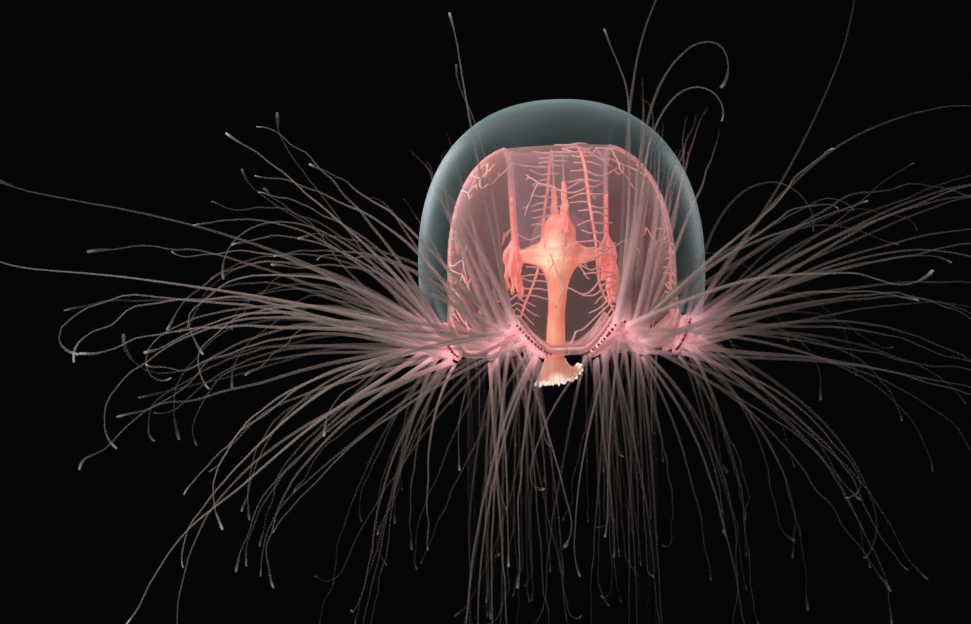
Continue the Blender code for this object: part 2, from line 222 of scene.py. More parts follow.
def clear_finish(name, first, second, scale, roughness, middle, edge, power, shine=0.5):
    """Clear jelly: thin where it is seen flat on, milky where it is seen edge on."""
    finish, shader, nodes, links = start_finish(name, first, second, scale, roughness)
    shader.inputs["Specular IOR Level"].default_value = shine
    facing = nodes.new("ShaderNodeLayerWeight")
    facing.inputs["Blend"].default_value = 0.5
    curve = nodes.new("ShaderNodeMath")
    curve.operation = "POWER"
    curve.inputs[1].default_value = power
    thickness = nodes.new("ShaderNodeMapRange")
    thickness.inputs["To Min"].default_value = middle
    thickness.inputs["To Max"].default_value = edge
    links.new(facing.outputs["Facing"], curve.inputs[0])
    links.new(curve.outputs["Value"], thickness.inputs["Value"])
    links.new(thickness.outputs["Result"], shader.inputs["Alpha"])
    return finish


def solid_finish(name, first, second, scale, roughness, bump, painted_glow):
    """Opaque tissue with a painted glow: it gives off light in its own colour, though it is no lamp."""
    finish, shader, nodes, links = start_finish(name, first, second, scale, roughness, bump)
    source = shader.inputs["Base Color"].links[0].from_socket
    links.new(source, shader.inputs["Emission Color"])
    shader.inputs["Emission Strength"].default_value = painted_glow
    return finish


def soften(shader, nodes, links, middle=1.0):
    """Lets a tissue's outline fade, as the edge of thick jelly-like tissue does."""
    facing = nodes.new("ShaderNodeLayerWeight")
    facing.inputs["Blend"].default_value = 0.5
    fade = nodes.new("ShaderNodeMapRange")
    fade.interpolation_type = "SMOOTHSTEP"
    fade.inputs["From Min"].default_value = 0.20
    fade.inputs["From Max"].default_value = 0.92
    fade.inputs["To Min"].default_value = middle
    fade.inputs["To Max"].default_value = 0.0
    links.new(facing.outputs["Facing"], fade.inputs["Value"])
    links.new(fade.outputs["Result"], shader.inputs["Alpha"])


def make_nearness():
    """A node group: 1 near a centre, falling softly to 0 further out."""
    group = bpy.data.node_groups.new("nearness", "ShaderNodeTree")
    group.interface.new_socket("Centre", in_out="INPUT", socket_type="NodeSocketVector")
    group.interface.new_socket("Inner", in_out="INPUT", socket_type="NodeSocketFloat")
    group.interface.new_socket("Outer", in_out="INPUT", socket_type="NodeSocketFloat")
    group.interface.new_socket("Mask", in_out="OUTPUT", socket_type="NodeSocketFloat")
    nodes, links = group.nodes, group.links
    given, result = nodes.new("NodeGroupInput"), nodes.new("NodeGroupOutput")
    where = nodes.new("ShaderNodeTexCoord")
    span = nodes.new("ShaderNodeVectorMath")
    span.operation = "DISTANCE"
    near = nodes.new("ShaderNodeMapRange")
    near.interpolation_type = "SMOOTHSTEP"
    near.inputs["To Min"].default_value = 1.0
    near.inputs["To Max"].default_value = 0.0
    links.new(where.outputs["Object"], span.inputs[0])
    links.new(given.outputs["Centre"], span.inputs[1])
    links.new(given.outputs["Inner"], near.inputs["From Min"])
    links.new(given.outputs["Outer"], near.inputs["From Max"])
    links.new(span.outputs["Value"], near.inputs["Value"])
    links.new(near.outputs["Result"], result.inputs["Mask"])
    return group


def near(nodes, centre, inner, outer):
    """The nearness mask about a point of the medusa."""
    mask = nodes.new("ShaderNodeGroup")
    mask.node_tree = nearness
    mask.inputs["Centre"].default_value = medusa_pose @ Vector(centre)
    mask.inputs["Inner"].default_value = inner
    mask.inputs["Outer"].default_value = outer
    return mask.outputs["Mask"]


def thin_out(finish, centre, inner, outer, least):
    """Makes a clear finish thinner about a point of the medusa."""
    nodes, links = finish.node_tree.nodes, finish.node_tree.links
    alpha = nodes["Principled BSDF"].inputs["Alpha"]
    share = nodes.new("ShaderNodeMapRange")
    share.inputs["To Min"].default_value = 1.0
    share.inputs["To Max"].default_value = least
    cover = nodes.new("ShaderNodeMath")
    cover.operation = "MULTIPLY"
    links.new(near(nodes, centre, inner, outer), share.inputs["Value"])
    links.new(share.outputs["Result"], cover.inputs[0])
    links.new(alpha.links[0].from_socket, cover.inputs[1])
    links.new(cover.outputs["Value"], alpha)


nearness = make_nearness()
gel = clear_finish("bell_gel", (0.21, 0.38, 0.37), (0.38, 0.50, 0.55), 90, 0.32, 0.05, 0.72, 3.5, 0.2)
lining = clear_finish("bell_lining", (0.76, 0.31, 0.28), (0.60, 0.27, 0.27), 130, 0.45, 0.11, 0.52, 1.7, 0.1)
stalk_jelly = clear_finish(
    "stalk_jelly", (0.58, 0.38, 0.46), (0.48, 0.30, 0.37), 200, 0.3, 0.125, 0.22, 2.0, 0.0
)
thin_out(lining, (5 * MM, -24 * MM, 8 * MM), 5 * MM, 14 * MM, 0.3)


def make_bell():
    outer = dome(bell_radius, widest_height, bell_height, 2.3, 2.3, 40)
    outer += skirt(bell_radius, widest_height, rim_radius, 14)
    hollow = dome(cavity_radius, cavity_widest_height, cavity_height, 3.2, 2.3, 48)
    hollow += skirt(cavity_radius, cavity_widest_height, rim_radius - rim_thickness, 12)
    hollow = [point for point in hollow[::-1] if point[0] > stalk_radius + 2.2 * MM]
    roof = hollow[-1][1]
    profile = outer[:-1]
    for step in range(5):
        turn = math.pi * (0.5 - step / 4)
        middle = rim_radius - rim_thickness / 2
        out = middle + rim_thickness / 2 * math.sin(turn)
        profile.append((out, rim_thickness / 2 * (1 - math.cos(turn))))
    profile += hollow[1:]
    wall_rows = len(profile)
    for step in range(1, 7):
        turn = (math.pi / 2) * step / 6
        out = stalk_radius + 2.2 * MM * (1 - math.sin(turn))
        profile.append((out, roof - 2.2 * MM * (1 - math.cos(turn))))
    stalk_top = profile[-1][1]
    for step in range(1, 15):
        share = step / 14
        out = stalk_radius + (stalk_low_radius - stalk_radius) * share
        profile.append((out, stalk_top + (stalk_low_height - stalk_top) * share))
    bead = 1.3 * MM
    for step in range(1, 9):
        turn = math.pi * step / 8
        out = stalk_low_radius - bead * (1 - math.cos(turn))
        profile.append((out, stalk_low_height - bead * math.sin(turn)))
    for step in range(1, 11):
        turn = (math.pi / 2) * step / 10
        out = (stalk_low_radius - 2 * bead) * math.cos(turn)
        profile.append((out, stalk_low_height + 8.6 * MM * math.sin(turn)))

    def finish_of_row(row):
        if row < len(outer) + 1:
            return 0
        return 1 if row < wall_rows - 1 else 2

    mesh = lathe("bell_jelly", profile, 192, scallop, finish_of_row)
    return settle("bell_jelly", mesh, [gel, lining, stalk_jelly], ["bell", "peduncle"])


make_bell()


# ---- The stomach and feeding tube ----------------------------------------------------------
# Soft salmon tissue: a cross-shaped stomach fixed under the stalk, and the tube that hangs
# from its middle and drifts a little to the left. They are moulded as one.

FIRST_CANAL_AZIMUTH = LOBE_ANGLE / 2
CANAL_TWIST = 18.0
ARM_AZIMUTH = FIRST_CANAL_AZIMUTH - CANAL_TWIST
arm_radius = 9.4 * MM
bulb_radius = 3.3 * MM


def tube_drift(height):
    """How far the feeding tube has swung to the side at a height."""
    return -2.0 * MM + 1.6 * MM * min(1.0, max(0.0, height / (21 * MM)))


def gut_finish():
    """Salmon tissue with a painted glow, and a painted highlight where the stomach's arms cross: there its colour
    turns pale and its glow is brightest.
    """
    finish, shader, nodes, links = start_finish("gut", (0.80, 0.20, 0.12), (0.95, 0.40, 0.26), 330, 0.5, 0.6)
    shader.inputs["Specular IOR Level"].default_value = 0.2
    cloudy = shader.inputs["Base Color"].links[0].from_socket
    # Painted highlight: near the middle of the cross the colour pales and the painted glow brightens.
    core = near(nodes, (-2.4 * MM, -3.0 * MM, 20.8 * MM), 1.0 * MM, 6.0 * MM)
    pale = nodes.new("ShaderNodeMix")
    pale.data_type = "RGBA"
    pale.inputs["B"].default_value = (1.0, 0.62, 0.42, 1)
    painted_glow = nodes.new("ShaderNodeMix")
    painted_glow.data_type = "RGBA"
    painted_glow.inputs["A"].default_value = (0.40, 0.11, 0.07, 1)
    painted_glow.inputs["B"].default_value = (0.90, 0.52, 0.33, 1)
    links.new(core, pale.inputs["Factor"])
    links.new(core, painted_glow.inputs["Factor"])
    links.new(cloudy, pale.inputs["A"])
    links.new(pale.outputs["Result"], shader.inputs["Base Color"])
    links.new(painted_glow.outputs["Result"], shader.inputs["Emission Color"])
    shader.inputs["Emission Strength"].default_value = 0.75
    soften(shader, nodes, links)
    return finish


gut = gut_finish()


def make_gut():
    outline = [
        (0.0, 29.2), (1.3, 29.0), (2.4, 28.2), (3.2, 27.0), (3.6, 25.4), (3.75, 24.0), (4.0, 23.0),
        (5.2, 22.5), (7.0, 22.1), (8.8, 21.8), (9.6, 21.2), (9.7, 20.4), (9.3, 19.6), (7.8, 19.1),
        (6.0, 18.8), (4.7, 18.4), (3.7, 17.7), (3.1, 16.6), (2.6, 15.4), (2.2, 14.0), (1.95, 12.0),
        (1.85, 9.0), (1.8, 6.0), (2.0, 3.0), (2.2, 1.0), (2.3, -1.2), (0.0, -1.2),
    ]
    profile = [(radius * MM, height * MM) for radius, height in outline]

    def shape(azimuth, radius, height):
        swing = math.cos(math.radians(2 * (azimuth - ARM_AZIMUTH)))
        share = min(1.0, max(0.0, radius - bulb_radius) / (arm_radius - bulb_radius))
        reach = swing ** 4 * (1.0 if math.sin(math.radians(azimuth)) ** 2 > 0.5 else 0.22)
        radius *= 1 - share * (0.62 - 0.62 * reach)
        lump = noise.noise(place(azimuth, radius, height) * 420)
        fine = noise.noise(place(azimuth, radius, height) * 1300)
        return radius * (1 + 0.20 * lump + 0.07 * fine), height + (0.6 * lump + 0.15 * fine) * MM

    mesh = lathe("gut", profile, 128, shape)
    for corner in mesh.vertices:
        corner.co.x += tube_drift(corner.co.z)
    piece = settle("gut", mesh, [gut], ["stomach", "manubrium"])
    smoothing = piece.modifiers.new("Soft tissue", "SUBSURF")
    smoothing.levels = smoothing.render_levels = 1


make_gut()


# ---- The lips ------------------------------------------------------------------------------
# The mouth's frilled skirt, which grows out of the feeding tube: salmon at the root and
# cream-white at its crimped edge. It hangs straight at the left and cups up at the right.

def lip_finish():
    finish, shader, nodes, links = start_finish(
        "lip_tissue", (0.92, 0.72, 0.56), (1.0, 0.93, 0.78), 600, 0.4, 0.5
    )
    shader.inputs["Specular IOR Level"].default_value = 0.3
    cloudy = shader.inputs["Base Color"].links[0].from_socket
    along = nodes.new("ShaderNodeAttribute")
    along.attribute_name = "along"
    edge = nodes.new("ShaderNodeMapRange")
    edge.interpolation_type = "SMOOTHSTEP"
    edge.inputs["From Min"].default_value = 0.76
    edge.inputs["From Max"].default_value = 0.97
    core = near(nodes, (-1.7 * MM, -3.5 * MM, -6.0 * MM), 0.6 * MM, 2.8 * MM)
    bright = nodes.new("ShaderNodeMath")
    bright.operation = "MAXIMUM"
    tissue = nodes.new("ShaderNodeMix")
    tissue.data_type = "RGBA"
    tissue.inputs["A"].default_value = (0.62, 0.28, 0.20, 1)
    thin = nodes.new("ShaderNodeMapRange")
    thin.inputs["To Min"].default_value = 0.62
    thin.inputs["To Max"].default_value = 1.0
    links.new(along.outputs["Fac"], edge.inputs["Value"])
    links.new(edge.outputs["Result"], bright.inputs[0])
    links.new(core, bright.inputs[1])
    links.new(bright.outputs["Value"], tissue.inputs["Factor"])
    links.new(bright.outputs["Value"], thin.inputs["Value"])
    links.new(cloudy, tissue.inputs["B"])
    links.new(tissue.outputs["Result"], shader.inputs["Base Color"])
    links.new(tissue.outputs["Result"], shader.inputs["Emission Color"])
    links.new(thin.outputs["Result"], shader.inputs["Alpha"])
    # A painted glow: the lips give off light in their own colour.
    shader.inputs["Emission Strength"].default_value = 0.30
    return finish


lip_tissue = lip_finish()
LIP_STEPS = 264
LIP_ROWS = 26


def lip_point(azimuth, share, thickness):
    """A point on the skirt: share runs from its root to its edge."""
    turn = math.radians(azimuth)
    flared = math.exp(-(((azimuth - 80 + 180) % 360 - 180) / 58) ** 2)
    lifted = math.exp(-(((azimuth - 96 + 180) % 360 - 180) / 34) ** 2)
    folds = math.cos(4 * turn + 0.7)
    radius = 2.2 + (1.3 + 2.7 * flared + 0.35 * folds) * share ** 1.3
    height = -1.0 - 5.5 * share + 4.1 * lifted * share ** 2.2
    crimp = math.cos(33 * turn + 3 * math.sin(5 * turn)) + 0.6 * math.cos(19 * turn + 1)
    radius += 0.18 * crimp * share ** 3
    height -= 0.22 * crimp * share ** 4
    height += 0.5 * share * noise.noise(place(azimuth, 1, 0) * 3)
    swing = Vector((tube_drift(0) - 0.7 * share * MM, 0, 0))
    return place(azimuth, (radius - thickness) * MM, height * MM) + swing


def make_lips():
    form = bmesh.new()
    along = form.verts.layers.float.new("along")
    rings = []
    for thickness, rows in ((0.0, range(LIP_ROWS + 1)), (0.30, range(LIP_ROWS, -1, -1))):
        for row in rows:
            share = row / LIP_ROWS
            ring = []
            for step in range(LIP_STEPS):
                corner = form.verts.new(lip_point(360 * step / LIP_STEPS, share, thickness))
                corner[along] = share
                ring.append(corner)
            rings.append(ring)
    for first, second in zip(rings, rings[1:] + rings[:1]):
        for step in range(LIP_STEPS):
            after = (step + 1) % LIP_STEPS
            form.faces.new((first[step], first[after], second[after], second[step]))
    bmesh.ops.recalc_face_normals(form, faces=form.faces)
    mesh = bpy.data.meshes.new("lip_frill")
    form.to_mesh(mesh)
    form.free()
    settle("lip_frill", mesh, [lip_tissue], ["lips"])


make_lips()


# ---- The velum -----------------------------------------------------------------------------
# The thin pink shelf inside the rim that half closes the bell's mouth. It is a film stretched
# from the scalloped rim to a round opening.

membrane = clear_finish("membrane", (0.74, 0.36, 0.34), (0.60, 0.28, 0.28), 300, 0.35, 0.26, 0.60, 1.3, 0.2)


def make_velum():
    rim = rim_radius - rim_thickness - 0.1 * MM
    opening = 18.0 * MM
    mesh = bpy.data.meshes.new("velum_film")
    form = bmesh.new()
    steps, rings = 192, 8
    layers = []
    for lift in (0.15 * MM, -0.15 * MM):
        for ring in range(rings + 1):
            share = ring / rings
            row = []
            for step in range(steps):
                azimuth = 360 * step / steps
                radius = opening + (rim - opening) * share
                height = 0.1 * MM + 1.9 * MM * share ** 0.6
                height += margin_height(azimuth) * (0.25 + 0.6 * share)
                height += 0.12 * MM * (1 - share) * math.cos(math.radians(azimuth * 24))
                row.append(form.verts.new(place(azimuth, radius, height + lift)))
            layers.append(row)
    upper, lower = layers[:rings + 1], layers[rings + 1:]
    loop = upper + lower[::-1]
    for first, second in zip(loop, loop[1:] + loop[:1]):
        for step in range(steps):
            after = (step + 1) % steps
            form.faces.new((first[step], first[after], second[after], second[step]))
    bmesh.ops.recalc_face_normals(form, faces=form.faces)
    form.to_mesh(mesh)
    form.free()
    settle("velum_film", mesh, [membrane], ["velum"])


make_velum()


# ---- The canals ----------------------------------------------------------------------------
# Four coral-pink canals run from the stomach's arms up the stalk, under the roof and down the
# wall to the rim. Each one sends out a comb of fine side branches in the lining.

def sweep(strands, name, sides):
    """One mesh of tapering round strands. Each is its points, its radii and its tint, which on the
    tentacles is in part painted shade; every corner keeps how far along its strand it is and that tint,
    and each strand has its own strip of the baking map."""
    corners, faces, along, tints_and_painted_shades, strips = [], [], [], [], []
    for number, (points, radii, tint_and_painted_shade) in enumerate(strands):
        first = len(corners)
        count = len(points)
        ahead = (points[1] - points[0]).normalized()
        across = ahead.orthogonal().normalized()
        for spot in range(count):
            before, after = points[max(spot - 1, 0)], points[min(spot + 1, count - 1)]
            direction = (after - before).normalized()
            across = (across - direction * across.dot(direction)).normalized()
            upward = direction.cross(across)
            for side in range(sides):
                turn = 2 * math.pi * side / sides
                offset = across * math.cos(turn) + upward * math.sin(turn)
                corners.append(points[spot] + radii[spot] * offset)
                along.append(spot / (count - 1))
                tints_and_painted_shades.append(tint_and_painted_shade)
        for spot in range(count - 1):
            for side in range(sides):
                other = (side + 1) % sides
                low, high = first + spot * sides, first + (spot + 1) * sides
                faces.append((low + side, low + other, high + other, high + side))
                left, right = side / sides, (side + 1) / sides
                bottom, top = spot / (count - 1), (spot + 1) / (count - 1)
                strips.append((number, ((left, bottom), (right, bottom), (right, top), (left, top))))
        for ring, flip in ((first, True), (first + (count - 1) * sides, False)):
            cap = [ring + side for side in range(sides)]
            faces.append(tuple(cap[::-1] if flip else cap))
            level = 0.0 if flip else 1.0
            strips.append((number, tuple((side / sides, level) for side in range(sides))))
    mesh = bpy.data.meshes.new(name)
    mesh.from_pydata([tuple(corner) for corner in corners], [], faces)
    for title, values in (("along", along), ("tint_and_painted_shade", tints_and_painted_shades)):
        layer = mesh.attributes.new(title, "FLOAT", "POINT")
        layer.data.foreach_set("value", values)
    unwrap = mesh.uv_layers.new(name="OFBake")
    width = 1.0 / len(strands)
    flat = []
    for number, spots in strips:
        for left, level in spots:
            flat += [(number + 0.08 + 0.84 * left) * width, 0.01 + 0.98 * level]
    unwrap.data.foreach_set("uv", flat)
    return mesh


wall = dome(cavity_radius, cavity_widest_height, cavity_height, 3.2, 2.3, 60)
wall += skirt(cavity_radius, cavity_widest_height, rim_radius - rim_thickness, 20)
wall_lengths = [0.0]
for here, there in zip(wall, wall[1:]):
    wall_lengths.append(wall_lengths[-1] + math.dist(here, there))


def on_wall(azimuth, length, inset):
    """A point inside the hollow's wall, at a length down it from the middle of the roof."""
    length = min(max(length, 0.0), wall_lengths[-1] - 0.0001)
    step = next(number for number, far in enumerate(wall_lengths) if far > length)
    share = (length - wall_lengths[step - 1]) / (wall_lengths[step] - wall_lengths[step - 1])
    (out_a, up_a), (out_b, up_b) = wall[step - 1], wall[step]
    radius, height = scallop(azimuth, out_a + (out_b - out_a) * share, up_a + (up_b - up_a) * share)
    slope = Vector((-(up_a - up_b), -(out_b - out_a))).normalized()
    return place(azimuth, radius + slope.x * inset, height + slope.y * inset)


# The canals have a painted glow in their own colour.
canal_tissue = solid_finish("canal_tissue", (0.74, 0.16, 0.14), (0.84, 0.27, 0.24), 400, 0.4, 0.3, 0.30)


def pale_on_the_stalk(finish):
    """Turns the canals lilac and thin where they climb the top of the stalk."""
    nodes, links = finish.node_tree.nodes, finish.node_tree.links
    shader = nodes["Principled BSDF"]
    soften(shader, nodes, links, 0.95)
    along = nodes.new("ShaderNodeAttribute")
    along.attribute_name = "along"
    high = nodes.new("ShaderNodeValToRGB")
    ramp = high.color_ramp
    ramp.elements[0].position, ramp.elements[0].color = 0.03, (0, 0, 0, 1)
    ramp.elements[1].position, ramp.elements[1].color = 0.19, (0, 0, 0, 1)
    for position in (0.10, 0.13):
        ramp.elements.new(position).color = (1, 1, 1, 1)
    lilac = nodes.new("ShaderNodeMix")
    lilac.data_type = "RGBA"
    lilac.inputs["B"].default_value = (0.42, 0.24, 0.28, 1)
    thin = nodes.new("ShaderNodeMapRange")
    thin.inputs["To Min"].default_value = 1.0
    thin.inputs["To Max"].default_value = 0.45
    cover = nodes.new("ShaderNodeMath")
    cover.operation = "MULTIPLY"
    links.new(along.outputs["Fac"], high.inputs["Fac"])
    links.new(high.outputs["Color"], lilac.inputs["Factor"])
    links.new(high.outputs["Color"], thin.inputs["Value"])
    links.new(shader.inputs["Base Color"].links[0].from_socket, lilac.inputs["A"])
    links.new(lilac.outputs["Result"], shader.inputs["Base Color"])
    links.new(lilac.outputs["Result"], shader.inputs["Emission Color"])
    links.new(shader.inputs["Alpha"].links[0].from_socket, cover.inputs[0])
    links.new(thin.outputs["Result"], cover.inputs[1])
    links.new(cover.outputs["Value"], shader.inputs["Alpha"])


pale_on_the_stalk(canal_tissue)
# The side branches have a fainter painted glow.
branch_tissue = solid_finish("branch_tissue", (0.66, 0.26, 0.26), (0.74, 0.36, 0.34), 400, 0.45, 0.0, 0.10)
chance = random.Random(11)


def make_canals():
    start_length = stalk_radius + 1.6 * MM
    low_end = wall_lengths[-1] - 1.2 * MM
    for quarter in range(4):
        azimuth = FIRST_CANAL_AZIMUTH + 90 * quarter
        stalk_thickness = (0.26, 0.55, 0.26, 0.80)[quarter] * MM
        twist = (5.0, 18.0, 18.0, 18.0)[quarter]
        points = []
        radii = []
        for height in (22, 25, 28, 31, 34, 37, 40):
            reach = stalk_low_radius + (stalk_radius - stalk_low_radius) * (height - 21.5) / 22
            points.append(place(azimuth - CANAL_TWIST, reach + 0.4 * MM, height * MM))
            radii.append(stalk_thickness)
        points.append(place(azimuth - CANAL_TWIST, stalk_radius + 0.9 * MM, cavity_height - 2.2 * MM))
        radii.append(stalk_thickness)
        steps = 50

        def wander(length):
            share = (length - start_length) / (low_end - start_length)
            swing = 1.1 * math.sin(15 * share + quarter) * share
            return azimuth - twist * (1 - share) - 5 * math.sin(math.pi * share) + swing

        for step in range(steps + 1):
            length = start_length + (low_end - start_length) * step / steps
            points.append(on_wall(wander(length), length, 0.25 * MM))
            radii.append((0.44 - 0.18 * step / steps) * MM)
        branches = []
        for side in (-1, 1):
            length = start_length + chance.uniform(0.5, 1.5) * MM
            while length < low_end - 2 * MM:
                forked = 0.45 if quarter == 3 and side > 0 else 0.2
                branches += side_branch(wander(length), side, length, forked)
                length += chance.uniform(1.5, 2.4) * MM
        name = f"radial_canal_{quarter + 1}"
        mesh = sweep([(points, radii, 0.5)], name, 10)
        settle(name, mesh, [canal_tissue], [f"canal_{quarter + 1}"])
        mesh = sweep(branches, f"canal_branches_{quarter + 1}", 6)
        settle(f"canal_branches_{quarter + 1}", mesh, [branch_tissue], [])
    ring = []
    for step in range(241):
        azimuth = 1.5 * step
        ring.append(place(azimuth, rim_radius - rim_thickness - 0.15 * MM, margin_height(azimuth) + 1.1 * MM))
    mesh = sweep([(ring, [0.34 * MM] * 241, 0.5)], "ring_canal", 8)
    settle("ring_canal", mesh, [branch_tissue], [])


def side_branch(azimuth, side, length, forked, reach=0.0, depth=0):
    """A fine canal that leaves sideways. Most are short and plain; a few run on and fork."""
    long = depth > 0 or chance.random() < forked
    if not reach:
        reach = (chance.uniform(7.0, 11.0) if long else chance.uniform(2.2, 5.0)) * MM
    steps = max(4, int(reach / (0.6 * MM)))
    drop = chance.uniform(-0.15, 0.22)
    if depth:
        drop = chance.uniform(0.5, 1.3) * (1 if chance.random() < 0.7 else -1)
    bow = chance.uniform(-0.10, 0.16)
    points = []
    branches = []
    for step in range(steps + 1):
        share = step / steps
        down = length + reach * (drop * share + bow * math.sin(4.5 * share))
        radius = max(8 * MM, math.hypot(*on_wall(azimuth, down, 0)[:2]))
        turn = azimuth + side * math.degrees(reach * share / radius) / (1 + abs(drop))
        points.append(on_wall(turn, down, 0.12 * MM))
    if long and depth < 2:
        for bend in (-1, 1):
            branches += side_branch(turn, side, down, forked, reach * chance.uniform(0.25, 0.55), depth + 1)
    thick = (0.21 - 0.03 * depth) * MM
    radii = [thick * (1 - 0.35 * number / steps) for number in range(steps + 1)]
    return branches + [(points, radii, chance.random())]


make_canals()


# ---- The gonads ----------------------------------------------------------------------------
# Ruffled coral strips that hang down the stalk from each canal: two long ones at its sides,
# with blunt fingers at their free ends, and two short ones at its front and back.

def make_gonads():
    for quarter in range(4):
        azimuth = ARM_AZIMUTH + 90 * quarter
        at_side = quarter % 2 == 1
        full = quarter == 3
        fingers = (4, 8, 4, 14)[quarter]
        strands = []
        for finger in range(fingers):
            spread = finger / (fingers - 1) * 2 - 1
            depth = (finger * 5 % fingers) / (fingers - 1) * 2 - 1
            swing = spread * (12.0 if at_side else 3.5)
            if full:
                low = 13.0 + 1.4 * depth + chance.uniform(-0.8, 0.8)
            elif at_side:
                low = (10.5 if depth > 0 else 15.5) + chance.uniform(-0.8, 0.8)
            else:
                low = 25.0
            top = 33.0 if at_side else 35.5
            steps = 30
            points = []
            radii = []
            for step in range(steps + 1):
                share = step / steps
                height = top + (low - top) * share
                opened = min(1.0, max(0.0, (24.5 - height) / 4)) if at_side else share
                reach = stalk_low_radius + (stalk_radius - stalk_low_radius) * max(0.0, height - 21.5) / 22
                ruffle = math.sin(6 * share * math.pi + finger * 1.9)
                turn = azimuth + swing * (0.20 + 0.80 * opened) + 1.6 * ruffle * opened
                out = 0.5 + (0.35 * ruffle + 1.6 * depth) * opened * (1.0 if at_side else 0.3)
                out += 0.7 * opened * full
                points.append(place(turn, reach + out * MM, height * MM))
                swell = math.sin(math.pi * min(1.0, 0.15 + share)) ** 0.5
                thick = 0.36 + (0.50 if at_side else 0.25) * opened * swell
                radii.append(thick * MM * (1 + 0.18 * math.sin(step * 2.1 + finger)))
            strands.append((points, radii, finger / fingers))
        name = f"gonad_strips_{quarter + 1}"
        mesh = sweep(strands, name, 8)
        settle(name, mesh, [gonad_tissue], [f"gonad_{quarter + 1}"])


# The gonads have a painted glow in their own colour.
gonad_tissue = solid_finish("gonad_tissue", (0.80, 0.18, 0.15), (0.90, 0.30, 0.25), 400, 0.5, 0.4, 0.36)
gonad_nodes = gonad_tissue.node_tree.nodes
soften(gonad_nodes["Principled BSDF"], gonad_nodes, gonad_tissue.node_tree.links)
make_gonads()


# ---- The tentacle clusters -----------------------------------------------------------------
# Eight clusters of fine hollow tentacles, one at each cleft. They grow in rows from a pink
# swelling along the rim, fan out, and droop to pale, slightly swollen tips.

